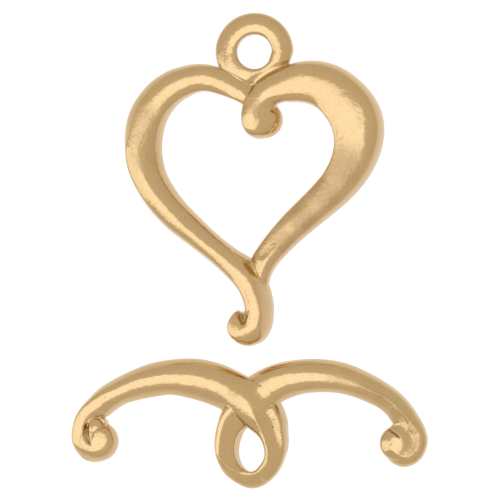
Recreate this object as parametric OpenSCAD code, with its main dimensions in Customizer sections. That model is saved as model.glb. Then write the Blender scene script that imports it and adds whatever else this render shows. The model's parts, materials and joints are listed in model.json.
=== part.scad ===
// Heart toggle clasp: a scrolled heart ring with an eye on top, and a scrolled toggle bar with a
// loop in its middle. Both are gold-plated castings that lie on their plain backs, side by side.
// X runs to the right, Y towards the eye of the heart, and Z up from the surface they lie on.

/* [Heart ring] */
// Width of the heart over its two lobes
heart_w = 15.7; // [14:0.1:18]
// Thickness of the heart at its thickest limb
heart_t = 2.4; // [2:0.1:3]
// Diameter of the hole in the eye, which takes a jump ring
eye_bore_d = 2.1; // [1.8:0.1:2.4]
// Outer diameter of the eye
eye_d = 4.75; // [4.4:0.05:5.2]
// Thickness of the eye
eye_t = 1.6; // [1.2:0.1:1.8]

/* [Toggle bar] */
// Length of the bar over its two scrolls
bar_l = 21.4; // [19:0.1:24]
// Thickness of the bar at its thickest place
bar_t = 2.4; // [2:0.1:3]

/* [Cast section] */
// How far the rounded ridge of a limb lies off its middle, towards its inner edge
ridge_lean = 0.15; // [0:0.05:0.3]
// Drop from the ridge to the crease beside it, as a share of the half width
crown_drop = 0.32; // [0.2:0.01:0.45]
// Height of the small step at that crease, as a share of the half width
crease_step = 0.08; // [0.02:0.01:0.16]

/* [Hidden] */
gold = [0.86, 0.68, 0.38];

// The tables below are drawn at these widths
drawn_heart_w = 15.7;
drawn_bar_l = 21.4;
heart_k = heart_w / drawn_heart_w;
bar_k = bar_l / drawn_bar_l;

// Columns of the limb tables, one row for each section: the outer edge, the inner edge, and the
// height as a share of the casting's thickness
OUT_X = 0;
OUT_Y = 1;
IN_X = 2;
IN_Y = 3;
TALL = 4;

// Left limb of the heart: from under the scroll, round the left lobe, down over the right limb to
// the tail and round its curl
left_limb_rows = [
    [0.82, 9.55, 0.34, 8.36, 0.62],
    [0.1, 9.95, -0.32, 8.65, 0.66],
    [-0.61, 10.33, -0.91, 8.96, 0.72],
    [-1.45, 10.75, -1.69, 9.25, 0.78],
    [-2.23, 11.08, -2.42, 9.46, 0.82],
    [-3.07, 11.17, -3.01, 9.46, 0.84],
    [-3.97, 11.05, -3.61, 9.22, 0.85],
    [-4.93, 10.75, -4.09, 8.92, 0.86],
    [-5.89, 10.15, -4.51, 8.5, 0.87],
    [-6.67, 9.31, -4.91, 7.9, 0.88],
    [-7.25, 8.29, -5.14, 7.21, 0.9],
    [-7.51, 7.15, -5.26, 6.43, 0.9],
    [-7.51, 6.01, -5.23, 5.65, 0.9],
    [-7.33, 4.81, -5.02, 4.75, 0.9],
    [-6.79, 3.61, -4.6, 3.92, 0.89],
    [-6.01, 2.42, -3.92, 2.98, 0.88],
    [-4.88, 1.24, -2.83, 1.84, 0.87],
    [-3.55, 0.22, -1.81, 0.89, 0.87],
    [-2.29, -0.77, -0.79, 0.1, 0.88],
    [-1.27, -1.72, -0.01, -0.4, 0.9],
    [-0.67, -2.44, 0.65, -1.06, 0.92],
    [-0.38, -3.1, 1.16, -2.02, 0.94],
    [-0.28, -3.58, 1.43, -2.98, 0.95],
    [-0.21, -3.94, 1.48, -3.88, 0.95],
    [-0.24, -4.21, 1.33, -4.72, 0.94],
    [-0.3, -4.38, 0.85, -5.44, 0.92],
    [-0.36, -4.46, -0.01, -5.75, 0.9],
    [-0.43, -4.44, -0.79, -5.5, 0.87],
    [-0.48, -4.37, -1.27, -4.88, 0.84],
    [-0.49, -4.21, -1.23, -4.18, 0.81],
    [-0.49, -4, -0.94, -3.73, 0.77],
    [-0.49, -3.82, -0.65, -3.58, 0.7]
];

// Right limb: from its scroll, round the right lobe, down to the tail
right_limb_rows = [
    [-0.2, 7.81, 1.24, 7.75, 0.88],
    [-0.38, 8.5, 1.45, 8.32, 0.9],
    [-0.22, 9.13, 1.67, 8.65, 0.92],
    [0.16, 9.73, 1.91, 8.83, 0.93],
    [0.82, 10.33, 2.21, 8.91, 0.94],
    [1.78, 10.84, 2.59, 8.92, 0.95],
    [2.92, 11.23, 3.1, 8.89, 0.96],
    [4.18, 11.29, 3.65, 8.74, 0.97],
    [5.38, 10.96, 4.12, 8.45, 0.98],
    [6.46, 10.28, 4.48, 8.03, 0.99],
    [7.36, 9.34, 4.79, 7.51, 1],
    [7.9, 8.36, 4.98, 6.97, 1],
    [8.1, 7.33, 5.05, 6.43, 1],
    [8.01, 6.25, 4.98, 5.83, 0.99],
    [7.65, 5.17, 4.75, 5.17, 0.97],
    [7.04, 4.12, 4.33, 4.46, 0.95],
    [6.17, 3.1, 3.67, 3.71, 0.92],
    [5.08, 2.15, 2.86, 2.9, 0.9],
    [3.94, 1.24, 2.02, 2.07, 0.87],
    [2.86, 0.32, 1.27, 1.21, 0.84],
    [1.96, -0.58, 0.65, 0.4, 0.8],
    [1.4, -1.36, 0.14, -0.4, 0.76],
    [1.17, -2.08, -0.01, -1.12, 0.7],
    [1.19, -2.62, 0.34, -1.96, 0.62]
];

// Left arm of the bar: from its scroll, over the right arm, and round the loop
left_arm_rows = [
    [-8.36, -12.34, -8.78, -11.62, 0.74],
    [-9.13, -12.67, -9.16, -11.74, 0.76],
    [-9.91, -12.53, -9.49, -11.65, 0.78],
    [-10.44, -12.01, -9.73, -11.41, 0.8],
    [-10.68, -11.45, -9.86, -11.12, 0.81],
    [-10.7, -10.84, -9.88, -10.75, 0.82],
    [-10.57, -10.15, -9.73, -10.37, 0.83],
    [-10.24, -9.49, -9.22, -10.09, 0.84],
    [-9.73, -8.89, -8.59, -9.97, 0.85],
    [-9.01, -8.21, -8.12, -9.62, 0.85],
    [-8.12, -7.67, -7.51, -9.22, 0.85],
    [-7.09, -7.17, -6.73, -8.97, 0.86],
    [-5.89, -6.73, -5.77, -8.78, 0.86],
    [-4.51, -6.5, -4.69, -8.65, 0.87],
    [-3.13, -6.48, -3.55, -8.87, 0.87],
    [-1.93, -6.72, -2.65, -9.13, 0.88],
    [-0.85, -7.15, -1.84, -9.46, 0.9],
    [0.1, -7.67, -1.09, -9.82, 0.94],
    [1, -8.32, -0.49, -10.28, 0.97],
    [1.67, -9.11, 0.01, -10.72, 0.97],
    [2.08, -9.88, 0.43, -11.05, 0.95],
    [2.29, -10.72, 0.72, -11.47, 0.93],
    [2.32, -11.62, 0.87, -11.98, 0.92],
    [2.11, -12.58, 0.82, -12.46, 0.91],
    [1.6, -13.48, 0.58, -12.85, 0.9],
    [0.82, -14.08, 0.34, -13.08, 0.88],
    [-0.01, -14.23, 0, -13.18, 0.86],
    [-0.85, -13.9, -0.36, -13.06, 0.84],
    [-1.57, -13.28, -0.67, -12.79, 0.82],
    [-1.99, -12.46, -0.87, -12.31, 0.79],
    [-1.99, -11.59, -1.03, -11.74, 0.72]
];

// Right arm: from its scroll, under the left arm, and down the loop's left side
right_arm_rows = [
    [8.23, -10.7, 8.45, -10.75, 0.72],
    [7.93, -11.14, 8.69, -10.89, 0.75],
    [7.89, -11.59, 8.83, -11.04, 0.79],
    [8.05, -12.16, 8.94, -11.13, 0.82],
    [8.47, -12.66, 9.01, -11.18, 0.85],
    [9.11, -12.95, 9.09, -11.21, 0.87],
    [9.76, -12.84, 9.15, -11.18, 0.88],
    [10.3, -12.43, 9.18, -11.13, 0.88],
    [10.61, -11.83, 9.15, -11.04, 0.88],
    [10.68, -11.21, 9.01, -10.89, 0.87],
    [10.51, -10.57, 8.74, -10.61, 0.86],
    [10.15, -9.9, 8.46, -10.21, 0.85],
    [9.64, -9.16, 8.17, -9.81, 0.85],
    [8.98, -8.47, 7.69, -9.42, 0.85],
    [8.08, -7.84, 7.06, -9.11, 0.85],
    [7, -7.25, 6.29, -8.8, 0.85],
    [5.8, -6.76, 5.33, -8.56, 0.86],
    [4.48, -6.52, 4.3, -8.5, 0.87],
    [3.17, -6.52, 3.28, -8.59, 0.88],
    [1.84, -6.71, 2.38, -8.87, 0.87],
    [0.7, -7.12, 1.6, -9.29, 0.84],
    [-0.26, -7.72, 0.7, -9.95, 0.76],
    [-1.09, -8.56, -0.01, -10.54, 0.7],
    [-1.69, -9.46, -0.4, -10.75, 0.7],
    [-1.93, -10.54, -0.79, -11.21, 0.73],
    [-2.1, -11.62, -0.91, -11.8, 0.76],
    [-1.91, -12.4, -0.96, -12.31, 0.75]
];

// Columns of the round fillings of the scrolls: middle, radius, and height as a share of the
// thickness. A ball shows between the turns, and a web closes the groove between them.
MID_X = 0;
MID_Y = 1;
R = 2;
HIGH = 3;
heart_ball = [0.55, 7.8, 1.08, 0.95];
bar_ball = [-8.83, -11.33, 0.97, 0.92];
tail_web = [-0.38, -4.35, 0.5, 0.5];
left_web = [-9.3, -11.1, 0.95, 0.5];
right_web = [8.95, -10.85, 0.6, 0.5];
// Wedge under the eye, which closes the cleft between the limbs
cleft_web = [0.05, 9.9, 0.7, 0.55];

// Eye of the heart: its middle, the height of that middle, and the straight wall of its bore
eye_x = 0.3;
eye_y = 11.85;
eye_z = heart_t * 0.45;
eye_bore_l = eye_t * 0.4;

// Sections worked out along a limb between one row of its table and the next
RINGS = 2;
// Height of the underside of a web, as a share of the thickness
WEB_FOOT = 0.15;
// Sides of the balls and of the eye
BALL_SIDES = 24;
EYE_SIDES = 72;

// Half of a section above its widest line: share of the way from the ridge to the edge, and the
// drop below the ridge as a share of the half width
crown = [
    [0.28, 0.03],
    [0.56, crown_drop * 0.45],
    [0.77, crown_drop],
    [0.80, crown_drop + crease_step],
    [0.91, crown_drop + crease_step + 0.12],
    [0.97, crown_drop + crease_step + 0.28]
];
widest_drop = crown_drop + crease_step + 0.48;

// Half of it from the widest line down to the plain back: the same share, and the height as a
// share of the widest line's
keel = [
    [1, 1],
    [0.95, 0.42],
    [0.78, 0.1],
    [0.52, 0]
];

// Half of the eye's section, out from its bore: share of the way to the outer edge, and height
// as a share of half its thickness
eye_crown = [
    [0.18, 0.82],
    [0.34, 1],
    [0.52, 0.97],
    [0.78, 0.68],
    [0.93, 0.36],
    [1, 0.08]
];

function at(rows, i) = rows[max(0, min(len(rows) - 1, i))];

function backward(list) = [for (i = [len(list) - 1 : -1 : 0]) list[i]];

// A point on the smooth curve from b to c, which heads away from a and towards d
function spline(a, b, c, d, t) =
    b + (c - a) * t / 2
    + (2 * a - 5 * b + 4 * c - d) * t * t / 2
    + (3 * b - a - 3 * c + d) * t * t * t / 2;

function smoothed(rows) = [
    for (i = [0 : len(rows) - 2], j = [0 : RINGS - 1])
        spline(at(rows, i - 1), rows[i], rows[i + 1], at(rows, i + 2), j / RINGS),
    rows[len(rows) - 1]
];

// Table rows at the finished size: k stretches the plan, and t is the casting's thickness
function sized(rows, k, t) = [
    for (r = rows) [r[OUT_X] * k, r[OUT_Y] * k, r[IN_X] * k, r[IN_Y] * k, r[TALL] * t]
];

// Points of one side of the section, as across and up: s is 1 on the inner side, -1 on the outer
function upper(s, half, tall) = [
    for (p = crown) [ridge_lean + (s - ridge_lean) * p[0], tall - half * p[1]]
];

function lower(s, half, tall) =
    let (widest = max(tall * 0.3, tall - half * widest_drop))
    [for (p = keel) [s * p[0], widest * p[1]]];

function section(half, tall) = concat(
    [[ridge_lean, tall]],
    upper(1, half, tall),
    lower(1, half, tall),
    backward(lower(-1, half, tall)),
    backward(upper(-1, half, tall))
);

// The section set between a row's two edges
function placed(row) =
    let (
        a = [row[OUT_X], row[OUT_Y]],
        b = [row[IN_X], row[IN_Y]],
        half = norm(b - a) / 2
    )
    [
        for (p = section(half, row[TALL]))
            let (xy = (a + b) / 2 + (b - a) / 2 * p[0])
            [xy[0], xy[1], p[1]]
    ];

// A limb whose outer edge is on the right-hand side of its run, or on the left with flip
module limb(rows, flip = false) {
    run = smoothed(flip ? backward(rows) : rows);
    m = len(section(1, 1));
    last = (len(run) - 1) * m;
    polyhedron(
        points = [for (row = run) each placed(row)],
        faces = concat(
            [[for (j = [m - 1 : -1 : 0]) j]],
            [
                for (i = [0 : len(run) - 2], j = [0 : m - 1])
                    let (a = i * m + j, b = i * m + (j + 1) % m)
                    each [[a, b, a + m], [b, b + m, a + m]]
            ],
            [[for (j = [0 : m - 1]) last + j]]
        )
    );
}

module ball(spec, k, t) {
    r = spec[R] * k;
    half_t = spec[HIGH] * t / 2;
    translate([spec[MID_X] * k, spec[MID_Y] * k, half_t])
        scale([r, r, half_t])
            sphere(r = 1, $fn = BALL_SIDES);
}

module web(spec, k, t) {
    translate([spec[MID_X] * k, spec[MID_Y] * k, t * WEB_FOOT])
        cylinder(r = spec[R] * k, h = (spec[HIGH] - WEB_FOOT) * t, $fn = BALL_SIDES);
}

module eye() {
    bore_r = eye_bore_d / 2;
    band = eye_d / 2 - bore_r;
    half = concat(
        [[bore_r, eye_bore_l / 2]],
        [for (p = eye_crown) [bore_r + band * p[0], p[1] * eye_t / 2]]
    );
    translate([eye_x * heart_k, eye_y * heart_k, eye_z])
        rotate_extrude($fn = EYE_SIDES)
            polygon(concat(half, [for (p = backward(half)) [p[0], -p[1]]]));
}

module heart_ring() {
    color(gold) {
        resize([0, 0, heart_t])
            union() {
                limb(sized(left_limb_rows, heart_k, heart_t));
                limb(sized(right_limb_rows, heart_k, heart_t), flip = true);
                ball(heart_ball, heart_k, heart_t);
                web(cleft_web, heart_k, heart_t);
                web(tail_web, heart_k, heart_t);
            }
        eye();
    }
}

module toggle_bar() {
    color(gold)
        resize([0, 0, bar_t])
            union() {
                limb(sized(left_arm_rows, bar_k, bar_t), flip = true);
                limb(sized(right_arm_rows, bar_k, bar_t));
                ball(bar_ball, bar_k, bar_t);
                web(left_web, bar_k, bar_t);
                web(right_web, bar_k, bar_t);
            }
}

heart_ring();
toggle_bar();
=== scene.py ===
"""Heart toggle clasp: a scrolled heart ring with an eye, and a scrolled toggle bar with a loop.

Both are gold-plated castings that lie on their flat backs on a pale light table, seen nearly from
above. Each casting is swept from tables of sections, fused into one skin, dented and grooved.
The tables and sizes are in millimetres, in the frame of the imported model.
"""

import json
import math

import bmesh
import bpy
import numpy as np
from mathutils import Matrix, Vector, noise
from mathutils.bvhtree import BVHTree


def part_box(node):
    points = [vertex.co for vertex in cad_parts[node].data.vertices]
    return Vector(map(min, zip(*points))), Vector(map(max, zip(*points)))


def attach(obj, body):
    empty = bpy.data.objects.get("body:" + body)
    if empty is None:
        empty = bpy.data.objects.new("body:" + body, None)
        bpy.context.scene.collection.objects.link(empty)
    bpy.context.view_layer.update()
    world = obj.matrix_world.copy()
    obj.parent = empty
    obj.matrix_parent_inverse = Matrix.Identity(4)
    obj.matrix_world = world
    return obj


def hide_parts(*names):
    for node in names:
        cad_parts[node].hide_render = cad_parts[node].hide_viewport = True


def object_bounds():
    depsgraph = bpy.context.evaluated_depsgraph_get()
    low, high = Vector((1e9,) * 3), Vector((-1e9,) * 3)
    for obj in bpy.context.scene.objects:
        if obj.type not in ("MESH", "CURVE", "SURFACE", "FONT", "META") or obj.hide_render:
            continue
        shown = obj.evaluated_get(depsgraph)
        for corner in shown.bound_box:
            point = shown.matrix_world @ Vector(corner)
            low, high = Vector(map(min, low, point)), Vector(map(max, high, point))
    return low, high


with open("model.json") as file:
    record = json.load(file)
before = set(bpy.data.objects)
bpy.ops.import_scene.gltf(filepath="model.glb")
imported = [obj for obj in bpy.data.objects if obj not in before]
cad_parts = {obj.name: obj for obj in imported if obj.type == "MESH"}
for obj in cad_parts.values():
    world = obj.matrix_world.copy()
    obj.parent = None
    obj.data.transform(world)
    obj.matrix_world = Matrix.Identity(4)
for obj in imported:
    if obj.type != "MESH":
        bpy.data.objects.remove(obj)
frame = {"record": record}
cad_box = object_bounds()

MM = 0.001
# Thickness of the castings
THICK = round(cad_box[1][2] / MM, 3)
# Height of their widest lines, at which the outlines below were drawn
DRAWN_AT = 1.0

# Camera: how far it leans to the right of straight above, and towards the near side, its
# distance from the clasp, and the width of floor that fills the picture
LEAN_RIGHT = math.radians(6.5)
LEAN_NEAR = math.radians(2)
CAMERA_AWAY = 300
PICTURE_WIDE = 29.85
# Point in the middle of the picture, at the height of the widest lines
AIM = (0.03, 0)
# Width of the sensor. How near and how far the camera sees, in metres.
SENSOR = 36
CAMERA_CLIP = (0.01, 10)
# Across the floor, how far the camera sees a point aside for each millimetre of its height
SEEN_ASIDE = np.array([math.tan(LEAN_RIGHT), -math.tan(LEAN_NEAR)])

# Columns of the limb tables, a row for each section: outer edge, inner edge, height of the crest
# as a share of the thickness, where the level crest begins and ends, and where the walls begin
# outside and inside, the last four from -1 at the outer edge to 1 at the inner edge. A tenth
# number, 0 where it is left out, says how flat a side is: the inner side and its wall up to 1,
# the outer side down to -1.
OUT_X, OUT_Y, IN_X, IN_Y, TALL, CREST_FROM, CREST_TO, WALL_OUT, WALL_IN, FLAT = range(10)

# Left limb of the heart: from under the scroll, round the left lobe, down over the right limb to
# the tail and round its curl
LEFT_LIMB = [
    (0.82, 9.55, 0.34, 8.36, 0.8, 0, 0.7, -0.7, 0.9),
    (0.1, 9.95, -0.32, 8.65, 0.78, 0, 0.75, -0.95, 0.9),
    (-0.61, 10.33, -0.91, 8.96, 0.79, -0.03, 0.82, -0.95, 0.92),
    (-1.45, 10.75, -1.69, 9.25, 0.82, -0.2, 0.58, -0.95, 0.92),
    (-2.23, 11.08, -2.42, 9.46, 0.86, -0.2, 0.5, -0.86, 0.93),
    (-3.07, 11.17, -3.01, 9.46, 0.87, -0.17, 0.45, -0.78, 0.93),
    (-3.97, 11.05, -3.61, 9.22, 0.88, -0.22, 0.4, -0.76, 0.86),
    (-4.93, 10.75, -4.09, 8.92, 0.88, -0.24, 0.38, -0.74, 0.82),
    (-5.89, 10.15, -4.51, 8.5, 0.88, -0.26, 0.38, -0.72, 0.76),
    (-6.67, 9.31, -4.91, 7.9, 0.89, -0.34, 0.38, -0.7, 0.7),
    (-7.25, 8.29, -5.14, 7.21, 0.9, -0.45, 0.2, -0.7, 0.67),
    (-7.51, 7.15, -5.26, 6.43, 0.9, -0.55, 0, -0.72, 0.65),
    (-7.51, 6.01, -5.23, 5.65, 0.9, -0.65, -0.25, -0.96, 0.63),
    (-7.33, 4.81, -5.02, 4.75, 0.9, -0.65, -0.22, -0.96, 0.63),
    (-6.79, 3.61, -4.6, 3.92, 0.9, -0.62, -0.2, -0.96, 0.63),
    (-6.01, 2.42, -3.92, 2.98, 0.89, -0.56, -0.14, -0.9, 0.66),
    (-4.88, 1.24, -2.83, 1.84, 0.88, -0.52, -0.1, -0.88, 0.72),
    (-3.55, 0.22, -1.81, 0.89, 0.87, -0.5, -0.12, -0.85, 0.7),
    (-2.29, -0.77, -0.79, 0.1, 0.88, -0.54, -0.12, -0.85, 0.62),
    (-1.27, -1.72, -0.01, -0.4, 0.9, -0.6, -0.1, -0.85, 0.5),
    (-0.67, -2.44, 0.65, -1.06, 0.92, -0.7, -0.08, -0.88, 0.3),
    (-0.38, -3.1, 1.16, -2.02, 0.94, -0.72, -0.05, -0.9, 0.14),
    (-0.28, -3.58, 1.43, -2.98, 0.95, -0.74, -0.03, -0.92, 0.1),
    (-0.21, -3.94, 1.48, -3.88, 0.95, -0.75, -0.03, -0.94, 0.12),
    (-0.24, -4.21, 1.33, -4.72, 0.94, -0.75, -0.08, -0.95, 0.2),
    (-0.3, -4.38, 0.85, -5.44, 0.92, -0.72, -0.13, -0.95, 0.58),
    (-0.36, -4.46, -0.01, -5.75, 0.9, -0.72, -0.02, -0.95, 0.7),
    (-0.43, -4.44, -0.79, -5.5, 0.88, -0.4, 0.5, -0.98, 0.85),
    (-0.48, -4.37, -1.27, -4.88, 0.86, -0.3, 0.75, -0.98, 0.93),
    (-0.49, -4.21, -1.23, -4.18, 0.84, 0.3, 0.85, -0.98, 0.93),
    (-0.49, -4, -0.94, -3.73, 0.8, 0.45, 0.85, -0.98, 0.93),
    (-0.49, -3.82, -0.65, -3.58, 0.7, 0.45, 0.85, -0.98, 0.93),
]

# Right limb: from its scroll, round the right lobe, down to the tail, where it ends under the left
# limb
RIGHT_LIMB = [
    (0.4, 6.66, 0.74, 6.66, 0.5, -0.6, -0.2, -0.84, 0.8),
    (0.2, 6.72, 0.95, 6.71, 0.67, -0.7, -0.22, -0.88, 0.84),
    (-0.06, 6.86, 1.2, 6.84, 0.8, -0.78, -0.24, -0.9, 0.84),
    (-0.26, 7.06, 1.4, 7.03, 0.87, -0.82, -0.24, -0.92, 0.86),
    (-0.44, 7.4, 1.6, 7.35, 0.9, -0.85, -0.22, -0.93, 0.86),
    (-0.53, 7.86, 1.68, 7.8, 0.91, -0.85, -0.24, -0.93, 0.86),
    (-0.5, 8.36, 1.52, 8.12, 0.91, -0.64, -0.26, -0.92, 0.86),
    (-0.36, 8.86, 1.54, 8.38, 0.91, -0.36, -0.02, -0.9, 0.88),
    (-0.14, 9.3, 1.68, 8.66, 0.92, -0.24, 0.16, -0.88, 0.89),
    (0.16, 9.73, 1.88, 8.76, 0.93, -0.28, 0.25, -0.9, 0.88),
    (0.82, 10.33, 2.18, 8.82, 0.94, -0.32, 0.44, -0.9, 0.87),
    (1.78, 10.84, 2.58, 8.81, 0.95, -0.33, 0.48, -0.88, 0.87),
    (2.92, 11.23, 3.08, 8.79, 0.96, -0.31, 0.56, -0.84, 0.89),
    (4.18, 11.29, 3.62, 8.67, 0.97, -0.25, 0.61, -0.8, 0.91),
    (5.38, 10.96, 4.1, 8.4, 0.98, -0.22, 0.75, -0.79, 0.94),
    (6.46, 10.28, 4.47, 8, 0.99, -0.28, 0.9, -0.77, 0.96),
    (7.36, 9.34, 4.79, 7.51, 1, -0.35, 0.93, -0.76, 0.96),
    (7.9, 8.36, 4.98, 6.97, 1, -0.36, 0.93, -0.74, 0.96),
    (8.1, 7.33, 5.05, 6.43, 1, -0.33, 0.93, -0.73, 0.96),
    (8.01, 6.25, 4.98, 5.83, 0.99, -0.26, 0.93, -0.72, 0.96),
    (7.65, 5.17, 4.75, 5.17, 0.97, -0.22, 0.9, -0.72, 0.96),
    (7.04, 4.12, 4.33, 4.46, 0.95, -0.18, 0.66, -0.72, 0.95),
    (6.17, 3.1, 3.67, 3.71, 0.92, -0.2, 0.55, -0.72, 0.94),
    (5.08, 2.15, 2.86, 2.9, 0.9, -0.28, 0.4, -0.72, 0.93),
    (3.94, 1.24, 2.02, 2.07, 0.87, -0.25, 0.42, -0.72, 0.93),
    (2.86, 0.32, 1.27, 1.21, 0.84, -0.24, 0.46, -0.72, 0.93),
    (1.96, -0.58, 0.65, 0.4, 0.8, -0.1, 0.1, -0.74, 0.9),
    (1.4, -1.36, 0.14, -0.4, 0.76, -0.2, 0, -0.76, 0.9),
    (1.17, -2.08, -0.01, -1.12, 0.7, -0.2, 0.1, -0.78, 0.9),
    (1.19, -2.62, 0.34, -1.96, 0.62, -0.2, 0.2, -0.8, 0.9),
]

# Left arm of the bar: from its scroll, over the right arm, round the loop and up the loop's left
# side, where it ends under itself
LEFT_ARM = [
    (-8.36, -12.34, -8.78, -11.62, 0.62, 0.6, 0.66, -0.4, 0.8),
    (-9.13, -12.67, -9.16, -11.74, 0.74, 0.5, 0.56, -0.4, 0.8),
    (-9.91, -12.53, -9.49, -11.65, 0.79, 0.2, 0.26, -0.42, 0.8),
    (-10.44, -12.01, -9.73, -11.41, 0.81, -0.4, 0.3, -0.56, 0.8),
    (-10.68, -11.45, -9.86, -11.12, 0.82, -0.76, 0.45, -0.84, 0.8),
    (-10.7, -10.84, -9.88, -10.75, 0.82, -0.8, 0.5, -0.88, 0.8),
    (-10.57, -10.15, -9.73, -10.37, 0.83, -0.82, 0.4, -0.9, 0.8),
    (-10.24, -9.49, -9.22, -10.09, 0.84, -0.82, 0.1, -0.9, 0.72),
    (-9.73, -8.89, -8.59, -9.97, 0.85, -0.74, 0, -0.86, 0.68),
    (-9.01, -8.21, -8.12, -9.62, 0.85, -0.5, 0.05, -0.76, 0.64),
    (-8.12, -7.67, -7.51, -9.22, 0.85, -0.3, 0.2, -0.68, 0.63),
    (-7.09, -7.17, -6.73, -8.97, 0.85, -0.27, 0.22, -0.67, 0.63),
    (-5.89, -6.73, -5.77, -8.78, 0.86, -0.19, 0.3, -0.66, 0.63),
    (-4.51, -6.5, -4.69, -8.65, 0.86, -0.15, 0.37, -0.7, 0.7),
    (-3.13, -6.48, -3.55, -8.87, 0.87, -0.15, 0.35, -0.72, 0.66),
    (-1.93, -6.72, -2.65, -9.13, 0.87, -0.13, 0.36, -0.74, 0.66),
    (-0.85, -7.15, -1.84, -9.46, 0.88, -0.12, 0.37, -0.8, 0.64),
    (0.1, -7.67, -1.09, -9.82, 0.93, -0.05, 0.44, -0.94, 0.78),
    (1, -8.32, -0.49, -10.28, 0.94, 0.12, 0.5, -0.97, 0.86, -0.3),
    (1.67, -9.11, 0.01, -10.72, 0.92, 0.44, 0.46, -0.97, 0.88, -1),
    (2.08, -9.88, 0.43, -11.05, 0.88, 0.64, 0.66, -0.84, 0.88, -1),
    (2.29, -10.72, 0.72, -11.47, 0.86, 0.74, 0.76, -0.78, 0.88, -1),
    (2.32, -11.62, 0.87, -11.98, 0.85, 0.76, 0.78, -0.72, 0.9, -1),
    (2.11, -12.58, 0.82, -12.46, 0.83, 0.66, 0.76, -0.7, 0.9, -0.8),
    (1.6, -13.48, 0.58, -12.85, 0.78, 0.46, 0.68, -0.7, 0.92, -0.5),
    (0.82, -14.08, 0.34, -13.12, 0.7, 0.66, 0.72, -0.7, 0.94),
    (-0.01, -14.23, 0.02, -13.2, 0.63, 0.62, 0.92, -0.7, 0.96),
    (-0.85, -13.9, -0.3, -13, 0.62, 0.3, 0.36, -0.72, 0.8),
    (-1.57, -13.28, -0.47, -12.72, 0.7, -0.3, -0.24, -0.8, 0.66, 0.5),
    (-1.99, -12.46, -0.6, -12.33, 0.8, -0.8, -0.7, -0.88, 0.62, 1),
    (-2.12, -11.8, -0.62, -11.95, 0.83, -0.84, -0.62, -0.92, 0.6, 1),
    (-2.1, -11.2, -0.58, -11.6, 0.84, -0.84, -0.6, -0.92, 0.58, 1),
    (-1.98, -10.54, -0.49, -11.28, 0.84, -0.84, -0.58, -0.92, 0.58, 1),
    (-1.72, -9.7, -0.34, -10.9, 0.85, -0.8, -0.5, -0.9, 0.72, 0.8),
    (-1.2, -8.9, -0.1, -10.6, 0.82, -0.6, -0.3, -0.9, 0.84, 0.4),
    (-0.4, -8, 0.5, -10, 0.6, -0.3, 0.2, -0.9, 0.9),
]

# Right arm: from its scroll to the crossing, where it ends under the left arm
RIGHT_ARM = [
    (8.05, -12.16, 8.94, -11.13, 0.8, -0.14, -0.1, -0.78, 0.7),
    (8.47, -12.66, 9.01, -11.18, 0.82, -0.14, -0.1, -0.78, 0.75),
    (9.11, -12.95, 9.09, -11.21, 0.82, -0.2, -0.14, -0.78, 0.8),
    (9.76, -12.84, 9.15, -11.18, 0.81, -0.34, -0.24, -0.78, 0.8),
    (10.3, -12.43, 9.18, -11.13, 0.8, -0.36, -0.22, -0.78, 0.8),
    (10.61, -11.83, 9.15, -11.04, 0.79, -0.36, -0.2, -0.78, 0.8),
    (10.68, -11.21, 9.01, -10.89, 0.8, -0.34, -0.2, -0.78, 0.76),
    (10.51, -10.57, 8.74, -10.61, 0.82, -0.24, -0.14, -0.77, 0.7),
    (10.15, -9.9, 8.46, -10.21, 0.84, -0.06, -0.03, -0.74, 0.66),
    (9.64, -9.16, 8.17, -9.81, 0.85, 0.05, 0.07, -0.73, 0.66),
    (8.98, -8.47, 7.69, -9.42, 0.85, 0.07, 0.09, -0.72, 0.66),
    (8.08, -7.84, 7.06, -9.11, 0.85, 0.1, 0.12, -0.7, 0.66),
    (7, -7.25, 6.29, -8.8, 0.85, 0.1, 0.2, -0.7, 0.65),
    (5.8, -6.76, 5.33, -8.56, 0.85, 0, 0.3, -0.71, 0.72),
    (4.48, -6.52, 4.3, -8.5, 0.86, -0.13, 0.35, -0.72, 0.76),
    (3.17, -6.52, 3.28, -8.59, 0.87, -0.24, 0.33, -0.73, 0.76),
    (1.84, -6.71, 2.38, -8.87, 0.88, -0.34, 0.27, -0.74, 0.7),
    (0.7, -7.12, 1.6, -9.29, 0.85, -0.38, 0.32, -0.78, 0.85),
    (-0.26, -7.72, 0.7, -9.95, 0.76, -0.3, 0.2, -0.9, 0.9),
    (-1.09, -8.56, -0.01, -10.54, 0.68, -0.2, -0.1, -0.9, 0.8),
]

# Shelf along the right side of the loop
LOOP_SHELF = [
    (1.9, -9.1, 0.95, -9.6, 0.7, -0.05, 0.4, -0.11, 0.8),
    (2.13, -9.6, 1.13, -10, 0.72, -0.05, 0.42, -0.11, 0.8),
    (2.3, -10.19, 1.25, -10.45, 0.72, -0.1, 0.4, -0.17, 0.8),
    (2.35, -10.9, 1.28, -11.02, 0.71, -0.22, 0.3, -0.3, 0.8),
    (2.37, -11.57, 1.3, -11.6, 0.69, -0.3, 0.05, -0.37, 0.8),
    (2.22, -12.25, 1.3, -12, 0.62, -0.35, -0.3, -0.44, 0.8),
    (1.9, -12.8, 1.25, -12.4, 0.5, -0.35, -0.3, -0.5, 0.8),
]

# Eye: its middle, from the frame, and the radius of its bore
eye_mount = next(mount for mount in frame["record"]["mounts"] if mount["name"] == "jump_ring_eye")
EYE_MIDDLE = np.round(np.array(eye_mount["pos_m"][:2]) / MM, 3)
EYE_BORE_R = 1.02
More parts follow.
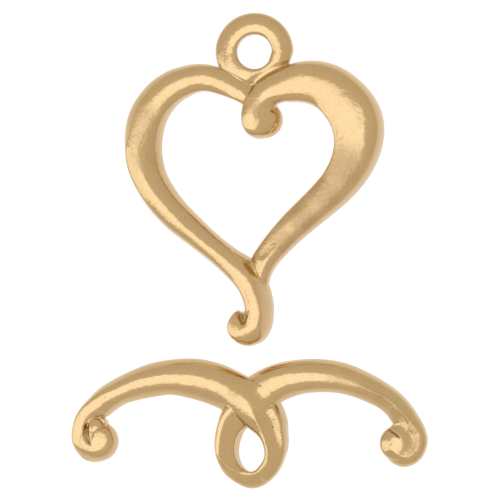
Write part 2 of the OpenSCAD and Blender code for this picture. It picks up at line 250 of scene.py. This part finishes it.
# A row for each direction in degrees: outer radius, then the columns from the height to the walls
# as above
EYE_ROWS = [
    (0, 2.36, 0.69, 0.05, 0.78, -0.84, 0.93),
    (45, 2.36, 0.68, 0.08, 0.78, -0.84, 0.93),
    (90, 2.36, 0.68, 0.05, 0.78, -0.84, 0.93),
    (135, 2.36, 0.68, 0.05, 0.76, -0.84, 0.92),
    (180, 2.36, 0.69, -0.1, 0.66, -0.88, 0.9),
    (215, 2.24, 0.71, -0.7, 0.6, -0.96, 0.88),
    (250, 1.9, 0.72, -0.8, 0.6, -0.97, 0.88),
    (290, 2, 0.71, -0.8, 0.6, -0.97, 0.88),
    (325, 2.3, 0.7, -0.5, 0.74, -0.93, 0.92),
]

# Buttons, round domes: middle, radius, height, share of the radius that is level and share at
# which the wall begins
HEART_SCROLL = (0.9, 7.78, 1.1, 1.97, 0.2, 0.84)
TAIL_SCROLL = (-0.43, -4.6, 0.93, 2.04, 0.3, 0.84)
LEFT_SCROLL = (-9.08, -11.42, 1.2, 2.03, 0.52, 0.8)
LEFT_HOOK = (-9.22, -10.5, 0.48, 2, 0.4, 0.9)
RIGHT_SCROLL = (8.84, -11.52, 1.05, 2.05, 0.42, 0.88)
# Fillings under the curls and the eye: middle, radius and height, from this height up
FILLINGS_FROM = 0.36
FILLINGS = {
    "heart_ring": [(-0.38, -4.35, 0.5, 1.2), (0.05, 9.95, 0.6, 1.6)],
    "toggle_bar": [
        (-9.3, -11.1, 0.95, 1.5), (-8.88, -10.36, 0.34, 1.7), (9, -10.8, 0.55, 1.72),
    ],
}

# Grooves, as the camera sees them: points with half the groove's width there, then its depth, how
# much painted shade turns its gold a deeper orange, and how much painted shade darkens it
GROOVES = {
    "heart_ring": [
        # Beside the right limb, from the eye to the scroll, and the slope that leads into it
        ([(2.8, 11.24, 0.04), (2.08, 11.02, 0.05), (1.48, 10.75, 0.05), (0.88, 10.4, 0.05),
          (0.46, 10.1, 0.05), (0.16, 9.8, 0.06), (-0.02, 9.43, 0.06), (-0.25, 9.07, 0.06),
          (-0.42, 8.78, 0.05)], 0.03, 0.5, 0.2),
        ([(2.2, 11.06, 0.3), (1.48, 10.78, 0.45), (0.86, 10.44, 0.5), (0.36, 10.12, 0.45),
          (0.06, 9.8, 0.4), (-0.1, 9.43, 0.3)], 0.1, 0, 0),
        # Seam between the eye and the left limb
        ([(-1.64, 10.82, 0.04), (-1, 10.5, 0.05), (-0.18, 9.98, 0.04)], 0.015, 0, 0.8),
        # Crotch over the tail
        ([(-1.2, 0.02, 0.06), (-0.4, -0.6, 0.14), (-0.1, -0.9, 0.26), (0.14, -1.2, 0.28),
          (0.46, -1.54, 0.12)], 0.1, 1, 0.2),
        # Hollow in the right limb above it
        ([(0.74, -0.34, 0.3), (1.1, -0.02, 0.4), (1.5, 0.3, 0.2)], 0.07, 0, 0.15),
        # Curl of the tail
        ([(-0.6, -3.62, 0.26), (-0.52, -4.0, 0.24), (-0.42, -4.36, 0.12)], 0.22, 0.5, 0.3),
        ([(-0.06, -3.66, 0.06), (-0.16, -3.95, 0.08), (-0.3, -4.25, 0.05)], 0.08, 0.5, 0.4),
        ([(-1.15, -5.14, 0.06), (-0.62, -5.46, 0.08), (0, -5.56, 0.1), (0.44, -5.4, 0.05)],
         0.06, 1, 0),
        # Notch of the scroll
        ([(1.3, 8.3, 0.08), (1.5, 8.26, 0.1), (1.68, 8.14, 0.08), (1.68, 7.8, 0.06),
          (1.48, 7.36, 0.06), (1.2, 7.06, 0.04)], 0.12, 0.9, 0),
    ],
    "toggle_bar": [
        # Along the bar's upper side
        ([(-3.26, -6.76, 0.04), (-2.1, -6.94, 0.06), (-1.2, -7.24, 0.08), (-0.44, -7.54, 0.1),
          (0.1, -7.63, 0.06)], 0.04, 1, 0),
        ([(1.24, -7.06, 0.05), (1.78, -6.94, 0.08), (2.4, -6.82, 0.07), (3, -6.7, 0.04),
          (3.9, -6.7, 0.03)], 0.04, 1, 0),
        # Crescent of the left scroll, its dark edge, the line under its hook, and the nick beside
        # the hook
        ([(-9.7, -10.36, 0.08), (-9.75, -10.78, 0.14), (-9.72, -11.13, 0.15), (-9.63, -11.4, 0.1),
          (-9.53, -11.57, 0.04)], 0.14, 0, 0.35),
        ([(-9.86, -10.4, 0.04), (-9.91, -10.8, 0.06), (-9.84, -11.15, 0.07), (-9.7, -11.42, 0.07),
          (-9.55, -11.6, 0.04)], 0.06, 0, 0.95),
        ([(-8.49, -10.46, 0.06), (-8.79, -10.57, 0.06), (-9.09, -10.67, 0.05),
          (-9.31, -10.87, 0.05), (-9.44, -11.09, 0.04), (-9.52, -11.3, 0.03)], 0.09, 0.5, 0.2),
        ([(-8.85, -9.98, 0.05), (-8.74, -10.02, 0.07), (-8.6, -10.1, 0.05)], 0.1, 0, 0.8),
        # Dull line of painted shade, and nicks darkened with it, along the ridge of the right arm
        ([(6.79, -8.17, 0.06), (7.44, -8.46, 0.1), (8.2, -8.9, 0.11), (8.78, -9.42, 0.11),
          (9.26, -9.96, 0.1), (9.49, -10.26, 0.06)], 0, 0.1, 0.4),
        ([(8.58, -9.2, 0.05), (8.7, -9.34, 0.07), (8.82, -9.48, 0.05)], 0.03, 0.4, 0.75),
        ([(9.02, -9.78, 0.03), (9.2, -10, 0.05), (9.32, -10.2, 0.05), (9.42, -10.38, 0.03)],
         0.05, 0.5, 0.7),
        # Notch of the right scroll
        ([(8.34, -10.68, 0.05), (8.52, -10.83, 0.08), (8.74, -10.98, 0.09), (8.93, -11.12, 0.05)],
         0.2, 0.5, 0.7),
    ],
}
# The skin is dented and grooved above this height
GROOVES_ABOVE = 0.8
# Grainy places: middle, radius and how grainy, above 1 where the gold is duller as well
MATTE = [
    (5.6, 4.8, 1.9, 2), (4.6, 3.4, 1.7, 2), (3.3, 1.9, 1.5, 2), (2.2, 0.4, 1.3, 1.6),
    (-6.2, 7.9, 1.3, 1), (-6.3, 6.6, 1.2, 1), (-6.2, 5.4, 1.1, 1), (1.1, -0.1, 0.7, 1),
    (0.35, 8.6, 0.7, 1.3),
    (5.6, -7.8, 1.2, 1), (6.8, -8.3, 1.1, 1.2), (7.9, -9, 1.1, 1.3), (8.8, -9.8, 1, 1.4),
    (9.9, -10.6, 0.8, 1.3), (10.25, -11.5, 0.8, 1.3), (10, -12.4, 0.8, 1.3),
    (1.7, -10.5, 0.8, 0.8), (1.8, -11.6, 0.8, 0.8), (-1.1, -13.2, 0.8, 0.8),
]
# How steeply the grain fades out towards the edge of its place
GRAIN_FADE = 1.5
# Dents all over: spacing and depth of each size
DENTS = [(1.3, 0.018), (0.45, 0.006), (0.2, 0.0018)]

# Section of a limb: slopes of the crest's rims and of the sides where the walls begin
RIM_SLOPE = 0.19
SIDE_SLOPE = 0.9
# Rims of crests narrower than this are steeper, up to the sharp slope. Widths across a section are
# shares of half the limb.
NARROW_CREST = 0.1
SHARP_SLOPE = 0.8
# Least way from the crest to the walls
CREST_GAP = 0.02
# Slope of the crest to the right and to the far side, so that it faces the near side a little
CREST_TILT = (-0.01, 0.068)
# Flat sides: how soon after the crest they begin, and their slope
FLAT_STARTS = 0.12
FLAT_SLOPE = 0.5
# Walls: slope where they begin, and the most it may be as a share of their mean slope
WALL_SLOPE = 1.5
WALL_SLOPE_SHARE = 0.45
# Foot of a wall, its widest line: how much lower it is where the wall faces the camera, and the
# most its height may be as a share of the wall's top
LOW_FOOT = 0.65
FOOT_SHARE = 0.6
# Keel, the bevel below the foot: shares of half the limb and of the foot's height
KEEL = [(0.985, 0.72), (0.95, 0.42), (0.88, 0.18), (0.78, 0.05), (0.66, 0)]
# Points across the top of a section and down each wall
TOP_POINTS = 40
WALL_POINTS = 8

# Skin of the castings: size of the cells that fuse the parts, passes and strength of the
# smoothing, and how many triangles are left
CELL = 0.05
SMOOTHING = 3
SMOOTH_FACTOR = 0.5
FACES = 190000

# Places where the parts flow into each other: middle, radius and softness
FILLETS = {
    "heart_ring": [
        (0.6, 8.1, 1.6, 0.12),
        (0.6, -2.0, 1.6, 0.08),
        (-0.6, -4.8, 1.0, 0.1),
    ],
    "toggle_bar": [
        (0.9, -8.1, 2.2, 0.2),
        (-9.1, -11.6, 1.7, 0.14),
        (9.3, -11.7, 1.5, 0.1),
        (1.6, -10.9, 1.3, 0.05),
        (-0.9, -10.1, 0.9, 0.1),
    ],
}
# The skin is lifted there above this height, where it lies no deeper than this below the highest
# part, and less and less over this last share of the radius. All parts lie below the last height.
FILLETS_ABOVE = 0.9
BURIED = 3 * CELL
FILLET_FADE = 0.3
ABOVE_ALL = 5

# Gold: the two tones that it varies between, the paler tone painted on the walls as a reflection
# of the floor, the deeper orange of painted shade in the grooves, the dull tone of grainy places,
# the dark tone of painted shade in the grooves and of dirt in the pits, and the tint at grazing
# angles
PALE_GOLD = (0.6, 0.39, 0.17, 1)
WARM_GOLD = (0.57, 0.365, 0.145, 1)
PAINTED_WALL_REFLECTION = (0.76, 0.54, 0.28, 1)
PAINTED_CREASE_GOLD = (0.62, 0.36, 0.08, 1)
DULL_GOLD = (0.5, 0.31, 0.125, 1)
DIRT_AND_CREASE_SHADE = (0.28, 0.19, 0.1, 1)
EDGE_TINT = (1, 0.88, 0.7, 1)
# Where the painted reflection on the walls begins and is full, by how much the surface faces up
WALL_REFLECTION_SPAN = (0.74, 0.2)
# Where the dull tone begins and is full, by how grainy the gold is
DULL_SPAN = (1, 2)

# Noises that the gold varies by: waves to a millimetre, and detail
BROAD = (1.1, 3)
GRAIN = (4.5, 3)
PATCHES = (0.5, 1)
SPECKLE = (7, 1)
# Mottling: how much of it is broad and how much speckle, and the span of it that goes from the
# first tone to the second
BROAD_SHARE = 0.4
SPECKLE_SHARE = 0.6
MOTTLE_SPAN = (0.4, 0.6)
# Pits: their cells to a millimetre, where their edge begins and ends in cells from the middle, and
# the span of the patches' noise over which they appear
PIT_CELLS = 1.9
PIT_EDGE = (0.03, 0.09)
PIT_PATCHES = (0.5, 0.56)
# How much dirt they hold, and their depth as a multiple of the grain's height
PIT_DIRT = 0.6
PIT_DEPTH = 3

# Roughness of the polished gold, the span of the grain's noise over which it varies, how much
# rougher the grainy gold is, and the most grain that counts for it
POLISHED = (0.15, 0.2)
POLISHED_SPAN = (0.3, 0.7)
GRAIN_ROUGHER = 0.2
COARSEST = 1.3
# Height of the grain, and how much of it the polished gold has
GRAIN_HEIGHT = 0.045
POLISHED_GRAIN = 0.3
# Clear lacquer
COAT_WEIGHT = 0.7
COAT_IOR = 1.5
COAT_ROUGHNESS = 0.1

# Light from the walls: height, from 0 at the horizon to 1 overhead, and brightness there
WALLS = [(0, 0.82), (0.25, 0.81), (0.8, 0.88)]
# Floor: from its middle to its edges in metres, shade, roughness, and how brightly it glows
FLOOR_REACH = 1.5
FLOOR_SHADE = 0.2
FLOOR_ROUGHNESS = 0.9
GLOW_IN_GOLD = 0.7
GLOW_IN_PICTURE = 0.95
# Lamps: name, shape, width and height, place and radiance, in metres
LAMPS = [
    ("softbox", "ELLIPSE", 0.40, 0.40, (-0.048, -0.05, 0.5), (0.83, 0.98, 1.28)),
    ("left_panel", "RECTANGLE", 0.34, 0.52, (-0.398, -0.075, 0.268), (0.74, 0.86, 1.06)),
]


def through(rows, steps):
    """Rows on the smooth curve through the given rows, steps from each row to the next."""
    widest = max(len(row) for row in rows)
    rows = np.array([[*row, *[0] * (widest - len(row))] for row in rows], float)
    padded = np.vstack([rows[:1], rows, rows[-1:]])
    t = np.linspace(0, 1, steps, endpoint=False)[:, None]
    runs = [
        b + (c - a) * t / 2
        + (2 * a - 5 * b + 4 * c - d) * t**2 / 2
        + (3 * b - a - 3 * c + d) * t**3 / 2
        for a, b, c, d in zip(padded, padded[1:], padded[2:], padded[3:])
    ]
    return np.vstack(runs + [rows[-1:]])


def wall(width, high, foot, flat):
    """Points of a wall from its top to its foot, across and up: it turns from its first slope to
    upright, or is straight where it is flat."""
    start = min(WALL_SLOPE * width / (high - foot), WALL_SLOPE_SHARE)
    sine = start / (1 - start)
    turn = np.linspace(math.asin(sine), math.pi / 2, WALL_POINTS)
    across = (np.sin(turn) - sine) / (1 - sine) * width
    fall = (1 - flat) * (1 - np.cos(turn) / math.cos(turn[0])) + flat * across / width
    return across, high - (high - foot) * fall


def section(half, tall, crest_from, crest_to, wall_out, wall_in, tilt, feet, flat=0):
    """Points across and up, in mm, from the keel outside over the crest to the keel inside. The
    limb is twice half wide and as tall as given, and its crest slopes by the tilt."""
    crest_from = max(crest_from, wall_out + CREST_GAP)
    crest_to = min(crest_to, wall_in - CREST_GAP)
    place = np.linspace(wall_out, wall_in, TOP_POINTS)
    narrow = np.clip(1 - (crest_to - crest_from) / NARROW_CREST, 0, 1)
    rim = RIM_SLOPE + (SHARP_SLOPE - RIM_SLOPE) * narrow
    rise = np.interp(
        place,
        [wall_out, crest_from, crest_to, wall_in],
        [SIDE_SLOPE, tilt + rim, tilt - rim, -SIDE_SLOPE],
    )
    from_crest = np.maximum(crest_from - place, place - crest_to)
    flat_there = np.where(place > crest_to, max(flat, 0), max(-flat, 0))
    flatter = np.clip(from_crest / FLAT_STARTS, 0, 1) * flat_there
    rise += flatter * (np.sign(rise) * FLAT_SLOPE - rise)
    climb = np.concatenate([[0], np.cumsum((rise[1:] + rise[:-1]) / 2 * np.diff(place))]) * half
    up = climb - climb.max() + tall
    foot_out, foot_in = (min(foot, FOOT_SHARE * top) for foot, top in zip(feet, (up[0], up[-1])))
    out_x, out_up = wall((1 + wall_out) * half, up[0], foot_out, 0)
    in_x, in_up = wall((1 - wall_in) * half, up[-1], foot_in, max(flat, 0))
    keel_x = np.array([share for share, _ in KEEL]) * half
    keel_up = np.array([share for _, share in KEEL])
    across = np.concatenate([
        -keel_x[::-1], (wall_out * half - out_x)[:0:-1], place * half,
        (wall_in * half + in_x)[1:], keel_x,
    ])
    up = np.concatenate([
        (keel_up * foot_out)[::-1], out_up[:0:-1], up, in_up[1:], keel_up * foot_in,
    ])
    return across, up


def ring(row):
    """The section of a table's row, set where the camera sees the row's points."""
    outer, inner = row[[OUT_X, OUT_Y]], row[[IN_X, IN_Y]]
    half = np.linalg.norm(inner - outer) / 2
    way = (inner - outer) / (2 * half)
    feet = [DRAWN_AT * (1 - LOW_FOOT * max(0, side * way[0])) for side in (-1, 1)]
    flat = row[FLAT] if len(row) > FLAT else 0
    across, up = section(
        half, row[TALL] * THICK, *row[[CREST_FROM, CREST_TO, WALL_OUT, WALL_IN]],
        way @ CREST_TILT, feet, np.clip(flat, -1, 1),
    )
    above = np.maximum(up, np.where(across < 0, *feet)) - DRAWN_AT
    across = across + above * (way @ SEEN_ASIDE)
    across = np.clip(across, -half, half)
    return np.column_stack([(outer + inner) / 2 + np.outer(across, way), up])


def tube(rings, closed):
    """Vertices and faces that join rings of equally many points, capped unless closed."""
    rounds, around = len(rings), len(rings[0])
    faces = []
    for i in range(rounds if closed else rounds - 1):
        this, after = i * around, (i + 1) % rounds * around
        for j in range(around):
            beside = (j + 1) % around
            faces.append((this + j, this + beside, after + beside, after + j))
    if not closed:
        faces.append(tuple(range(around - 1, -1, -1)))
        faces.append(tuple(range((rounds - 1) * around, rounds * around)))
    return np.vstack(rings), faces


def sweep(rows, steps=10):
    """A closed limb through the table's sections, as vertices and faces."""
    return tube([ring(row) for row in through(rows, steps)], closed=False)


def eye(steps=16):
    """The eye as a limb that runs round its bore and closes on itself."""
    # Rows from before and after the round let the curve run smoothly through its two ends
    rows = np.array(EYE_ROWS[-2:] + EYE_ROWS + EYE_ROWS[:3], float)
    rows[:2, 0] -= 360
    rows[-3:, 0] += 360
    rings = []
    for row in through(rows, steps)[2 * steps:-3 * steps]:
        turn = math.radians(row[0])
        way = np.array([math.cos(turn), math.sin(turn)])
        outer, inner = EYE_MIDDLE + row[1] * way, EYE_MIDDLE + EYE_BORE_R * way
        rings.append(ring(np.concatenate([outer, inner, row[2:]])))
    return tube(rings, closed=True)


def circle(x, y, radius, z, sides):
    """Points of a level circle."""
    turn = np.linspace(0, 2 * math.pi, sides, endpoint=False)
    across, along = x + radius * np.cos(turn), y + radius * np.sin(turn)
    return np.column_stack([across, along, np.full(sides, z)])


def button(x, y, radius, tall, level, edge, sides=72):
    """A round dome with the limbs' section, as vertices and faces."""
    across, up = section(radius, tall, -level, level, -edge, edge, 0, (DRAWN_AT, DRAWN_AT))
    middle = len(up) // 2
    rings = [circle(x, y, reach, z, sides) for reach, z in zip(across[middle:], up[middle:])]
    return tube(rings, closed=False)


def filling(x, y, radius, tall, sides=48):
    """A plain round block, as vertices and faces."""
    rings = [circle(x, y, radius, z, sides) for z in (FILLINGS_FROM, tall)]
    return tube(rings, closed=False)


def mesh_of(bm, name):
    """Turns a bmesh into a mesh."""
    mesh = bpy.data.meshes.new(name)
    bm.to_mesh(mesh)
    bm.free()
    return mesh


def add_object(name, data):
    """A new object in the scene, made of a mesh, a lamp or a camera."""
    obj = bpy.data.objects.new(name, data)
    bpy.context.scene.collection.objects.link(obj)
    return obj


def outward(verts, faces):
    """A mesh of one part, with every face turned outward."""
    mesh = bpy.data.meshes.new("part")
    mesh.from_pydata((verts * MM).tolist(), [], faces)
    bm = bmesh.new()
    bm.from_mesh(mesh)
    bmesh.ops.recalc_face_normals(bm, faces=bm.faces)
    bm.to_mesh(mesh)
    bm.free()
    return mesh


def applied(obj):
    """Puts what the object's modifiers make into its mesh."""
    depsgraph = bpy.context.evaluated_depsgraph_get()
    made = bpy.data.meshes.new_from_object(obj.evaluated_get(depsgraph))
    obj.modifiers.clear()
    obj.data = made


def points_of(obj):
    """The places of the object's vertices, a row each, in metres."""
    places = np.empty(len(obj.data.vertices) * 3)
    obj.data.vertices.foreach_get("co", places)
    return places.reshape(-1, 3)


def move_points(obj, places):
    """Moves the object's vertices to these places."""
    obj.data.vertices.foreach_set("co", places.ravel())
    obj.data.update()


def casting(name, node, parts):
    """One skin round all the parts, kept inside the box of the node that it stands for."""
    bm = bmesh.new()
    for verts, faces in parts:
        bm.from_mesh(outward(verts, faces))
    obj = add_object(name, mesh_of(bm, name))
    remesh = obj.modifiers.new("fuse", "REMESH")
    remesh.mode = "VOXEL"
    remesh.voxel_size = CELL * MM
    applied(obj)
    flow(obj, parts, FILLETS[node])
    smooth = obj.modifiers.new("smooth", "SMOOTH")
    smooth.factor = SMOOTH_FACTOR
    smooth.iterations = SMOOTHING
    applied(obj)
    carve(obj, GROOVES[node])
    settle(obj, node)
    # The skin is of quads, and each makes two of the faces that are left
    decimate = obj.modifiers.new("thin", "DECIMATE")
    decimate.ratio = min(1, FACES / (2 * len(obj.data.polygons)))
    applied(obj)
    mark_wear(obj, GROOVES[node])
    obj.data.shade_smooth()
    return obj


def flow(obj, parts, fillets):
    """Lifts the skin over the creases between parts, so that they flow into each other."""
    trees = [BVHTree.FromPolygons(verts.tolist(), faces) for verts, faces in parts]
    skin = points_of(obj) / MM
    down = Vector((0, 0, -1))
    for x, y, radius, soft in fillets:
        away = np.hypot(skin[:, 0] - x, skin[:, 1] - y)
        near = np.nonzero((away < radius) & (skin[:, 2] > FILLETS_ABOVE))[0]
        for i in near:
            start = Vector((skin[i, 0], skin[i, 1], ABOVE_ALL))
            tops = [hit[0].z for hit in (tree.ray_cast(start, down) for tree in trees) if hit[0]]
            if not tops or skin[i, 2] < max(tops) - BURIED:
                continue
            lift = soft * math.log(sum(math.exp((top - max(tops)) / soft) for top in tops))
            share = min(1, (radius - away[i]) / (FILLET_FADE * radius))
            skin[i, 2] += lift * share
    move_points(obj, skin * MM)


def groove_shares(skin, points):
    """How deep in a groove each vertex lies, from 0 outside it to 1 along its middle line."""
    seen = skin[:, :2] - (skin[:, 2:] - DRAWN_AT) * SEEN_ASIDE
    share = np.zeros(len(skin))
    for (*start, wide), (*end, end_wide) in zip(points, points[1:]):
        run = np.subtract(end, start)
        along = np.clip((seen - start) @ run / (run @ run), 0, 1)
        away = np.hypot(*(seen - start - along[:, None] * run).T)
        share = np.maximum(share, np.clip(1 - away / (wide + along * (end_wide - wide)), 0, 1))
    return share**2 * (3 - 2 * share) * (skin[:, 2] > GROOVES_ABOVE)


def carve(obj, grooves):
    """Dents the skin, and cuts the grooves along the camera's line of sight."""
    skin = points_of(obj) / MM
    cut = np.max([depth * groove_shares(skin, points) for points, depth, _, _ in grooves], axis=0)
    for spacing, depth in DENTS:
        dents = [noise.noise(Vector(place) / spacing) for place in skin]
        skin[:, 2] -= depth * np.array(dents) * (skin[:, 2] > GROOVES_ABOVE)
    skin -= cut[:, None] * np.append(SEEN_ASIDE, 1)
    move_points(obj, skin * MM)


def settle(obj, node):
    """Flattens the back onto the floor and keeps the casting inside its node's box."""
    low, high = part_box(node)
    move_points(obj, np.clip(points_of(obj), low, high))


def mark(obj, name, values):
    """Keeps a number for each vertex, which the material reads."""
    attribute = obj.data.attributes.new(name, "FLOAT", "POINT")
    attribute.data.foreach_set("value", values.astype(np.float32))


def mark_wear(obj, grooves):
    """Marks where painted shade deepens and darkens the gold in the grooves, and where the gold is
    grainy.
    """
    skin = points_of(obj) / MM
    shares = [groove_shares(skin, points) for points, _, _, _ in grooves]
    painted_crease_tone = [share * crease_tone_share for share, (_, _, crease_tone_share, _) in zip(shares, grooves)]
    crease_shade_and_dirt = [share * crease_shade_share for share, (_, _, _, crease_shade_share) in zip(shares, grooves)]
    grain = [
        share * np.clip(GRAIN_FADE * (1 - np.hypot(*(skin[:, :2] - (x, y)).T) / radius), 0, 1)
        for x, y, radius, share in MATTE
    ]
    for name, values in (("painted_crease_tone", painted_crease_tone), ("crease_shade_and_dirt", crease_shade_and_dirt), ("matte", grain)):
        mark(obj, name, np.max(values, axis=0))


def new_material(name):
    """A new material, its nodes and its shader."""
    material = bpy.data.materials.new(name)
    material.use_nodes = True
    tree = material.node_tree
    return material, tree, tree.nodes["Principled BSDF"]


def feed(tree, node, inputs):
    """Links a node's inputs to sockets, or sets them to plain values."""
    for name, value in inputs.items():
        if isinstance(value, bpy.types.NodeSocket):
            tree.links.new(value, node.inputs[name])
        else:
            node.inputs[name].default_value = value


def add(tree, kind, inputs=(), **settings):
    """A new node with these settings and inputs."""
    node = tree.nodes.new("ShaderNode" + kind)
    for name, value in settings.items():
        setattr(node, name, value)
    feed(tree, node, dict(inputs))
    return node


def maths(tree, operation, *values):
    """The result of an operation on these values."""
    return add(tree, "Math", enumerate(values), operation=operation).outputs[0]


def between(tree, value, low, high, to_low=0, to_high=1):
    """The value, turned from one span into another and cut off at its ends."""
    spans = {"From Min": low, "From Max": high, "To Min": to_low, "To Max": to_high}
    return add(tree, "MapRange", {"Value": value, **spans}).outputs[0]


def blend(tree, share, first, second):
    """A colour that goes from the first to the second as the share goes from 0 to 1."""
    # The node's colour inputs are 6 and 7, and its colour output is 2
    mix = add(tree, "Mix", {"Factor": share, 6: first, 7: second}, data_type="RGBA")
    return mix.outputs[2]


def gold_plate():
    """Bright gold under clear lacquer: pale at grazing angles, with a painted reflection that
    makes the walls paler, painted shade that deepens and darkens the grooves, rough and dull where
    it is grainy, with dirt in its sparse pits, and mottling."""
    material, tree, shader = new_material("gold_plate")
    where = add(tree, "TexCoord")
    to_mm = {0: where.outputs["Object"], "Scale": 1 / MM}
    place = add(tree, "VectorMath", to_mm, operation="SCALE").outputs[0]
    facing = add(tree, "SeparateXYZ", {0: where.outputs["Normal"]}).outputs["Z"]
    spots = add(tree, "TexVoronoi", {"Vector": place, "Scale": PIT_CELLS}).outputs[0]
    broad, grain, patches, speckle = (
        add(tree, "TexNoise", {"Vector": place, "Scale": scale, "Detail": detail}).outputs[0]
        for scale, detail in (BROAD, GRAIN, PATCHES, SPECKLE)
    )
    painted_crease_tone, crease_shade_and_dirt, matte = (
        add(tree, "Attribute", attribute_name=name).outputs["Fac"]
        for name in ("painted_crease_tone", "crease_shade_and_dirt", "matte")
    )

    pitted = between(tree, patches, *PIT_PATCHES)
    pits = maths(tree, "MULTIPLY", between(tree, spots, *PIT_EDGE, 1, 0), pitted)
    crease_shade_and_dirt = maths(tree, "MAXIMUM", crease_shade_and_dirt, maths(tree, "MULTIPLY", pits, PIT_DIRT))

    mottle = maths(tree, "MULTIPLY", broad, BROAD_SHARE)
    mottle = maths(tree, "MULTIPLY_ADD", speckle, SPECKLE_SHARE, mottle)
    gold = blend(tree, between(tree, mottle, *MOTTLE_SPAN), PALE_GOLD, WARM_GOLD)
    gold = blend(tree, between(tree, matte, *DULL_SPAN), gold, DULL_GOLD)
    # Painted reflection: faces that turn from up to upright are painted paler, as if they mirrored
    # the pale floor
    gold = blend(tree, between(tree, facing, *WALL_REFLECTION_SPAN), gold, PAINTED_WALL_REFLECTION)
    # Painted shade: the grooves turn a deeper orange, as gold does where it mirrors itself in a
    # crease
    gold = blend(tree, painted_crease_tone, gold, PAINTED_CREASE_GOLD)
    # Painted shade darkens the grooves; the same dark tone is dirt where it lies in the pits
    gold = blend(tree, crease_shade_and_dirt, gold, DIRT_AND_CREASE_SHADE)

    polish = between(tree, grain, *POLISHED_SPAN, *POLISHED)
    coarse = between(tree, matte, 0, COARSEST, 0, COARSEST)
    coarse = maths(tree, "MAXIMUM", coarse, crease_shade_and_dirt)
    height = maths(tree, "SUBTRACT", grain, maths(tree, "MULTIPLY", pits, PIT_DEPTH))
    bump = add(tree, "Bump", {
        "Height": height,
        "Distance": GRAIN_HEIGHT * MM,
        "Strength": between(tree, matte, 0, 1, POLISHED_GRAIN, 1),
    })
    feed(tree, shader, {
        "Base Color": gold,
        "Metallic": 1,
        "Specular Tint": EDGE_TINT,
        "Roughness": maths(tree, "MULTIPLY_ADD", coarse, GRAIN_ROUGHER, polish),
        "Coat Weight": COAT_WEIGHT,
        "Coat IOR": COAT_IOR,
        "Coat Roughness": COAT_ROUGHNESS,
        "Normal": bump.outputs[0],
    })
    return material


def light_table():
    """The floor: a large pale plate that glows, so that next to no shadow shows on it."""
    bm = bmesh.new()
    bmesh.ops.create_grid(bm, x_segments=1, y_segments=1, size=FLOOR_REACH)
    floor = add_object("light_table", mesh_of(bm, "light_table"))
    material, tree, shader = new_material("light_table")
    # The plate looks white in the picture, and darker than that in the gold
    path = add(tree, "LightPath")
    glow = between(tree, path.outputs["Is Camera Ray"], 0, 1, GLOW_IN_GOLD, GLOW_IN_PICTURE)
    feed(tree, shader, {
        "Base Color": (FLOOR_SHADE, FLOOR_SHADE, FLOOR_SHADE, 1),
        "Roughness": FLOOR_ROUGHNESS,
        "Specular IOR Level": 0,
        "Emission Color": (1, 1, 1, 1),
        "Emission Strength": glow,
    })
    floor.data.materials.append(material)


def lamp(name, shape, size, size_y, place, radiance):
    """A flat lamp at a place in metres that faces the clasp, with its radiance as a colour."""
    data = bpy.data.lights.new(name, "AREA")
    data.shape = shape
    data.size = size
    data.size_y = size_y
    area = size * size_y * (math.pi / 4 if shape == "ELLIPSE" else 1)
    strength = max(radiance)
    data.energy = strength * math.pi * area
    data.color = [part / strength for part in radiance]
    obj = add_object(name, data)
    obj.location = place
    obj.rotation_euler = Vector(place).to_track_quat("Z", "Y").to_euler()


def studio():
    """Soft light: even walls, a bright round box above and a bright panel on the left."""
    scene = bpy.context.scene
    scene.world = bpy.data.worlds.new("studio")
    scene.world.use_nodes = True
    tree = scene.world.node_tree
    where = add(tree, "TexCoord")
    height = add(tree, "SeparateXYZ", {0: where.outputs["Generated"]}).outputs["Z"]
    ramp = add(tree, "ValToRGB", {0: height})
    feed(tree, tree.nodes["Background"], {"Color": ramp.outputs[0]})
    stops = ramp.color_ramp.elements
    stops.new(WALLS[1][0])
    for stop, (place, bright) in zip(stops, WALLS):
        stop.position = place
        stop.color = (bright, bright, bright, 1)
    for spec in LAMPS:
        lamp(*spec)
    scene.view_settings.view_transform = "Standard"


def camera():
    """The camera, far away with a long lens, leaning as the photo was taken."""
    data = bpy.data.cameras.new("camera")
    data.lens = SENSOR * CAMERA_AWAY / PICTURE_WIDE
    data.sensor_width = SENSOR
    data.clip_start, data.clip_end = CAMERA_CLIP
    obj = add_object("camera", data)
    back = Vector((*SEEN_ASIDE, 1)).normalized()
    right = Vector((0, 1, 0)).cross(back).normalized()
    up = back.cross(right)
    aim = Vector((*AIM, DRAWN_AT)) * MM
    place = aim + back * CAMERA_AWAY * MM
    obj.matrix_world = Matrix.Translation(place) @ Matrix((right, up, back)).transposed().to_4x4()
    bpy.context.scene.camera = obj


camera()
studio()
light_table()
gold = gold_plate()
heart = casting("heart_casting", "heart_ring", [
    sweep(LEFT_LIMB), sweep(RIGHT_LIMB), eye(), button(*HEART_SCROLL), button(*TAIL_SCROLL),
    *(filling(*spot) for spot in FILLINGS["heart_ring"]),
])
bar = casting("bar_casting", "toggle_bar", [
    sweep(LEFT_ARM), sweep(RIGHT_ARM), sweep(LOOP_SHELF), button(*LEFT_SCROLL), button(*LEFT_HOOK),
    button(*RIGHT_SCROLL),
    *(filling(*spot) for spot in FILLINGS["toggle_bar"]),
])
for piece, node in ((heart, "heart_ring"), (bar, "toggle_bar")):
    piece.data.materials.append(gold)
    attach(piece, "root")
    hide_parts(node)
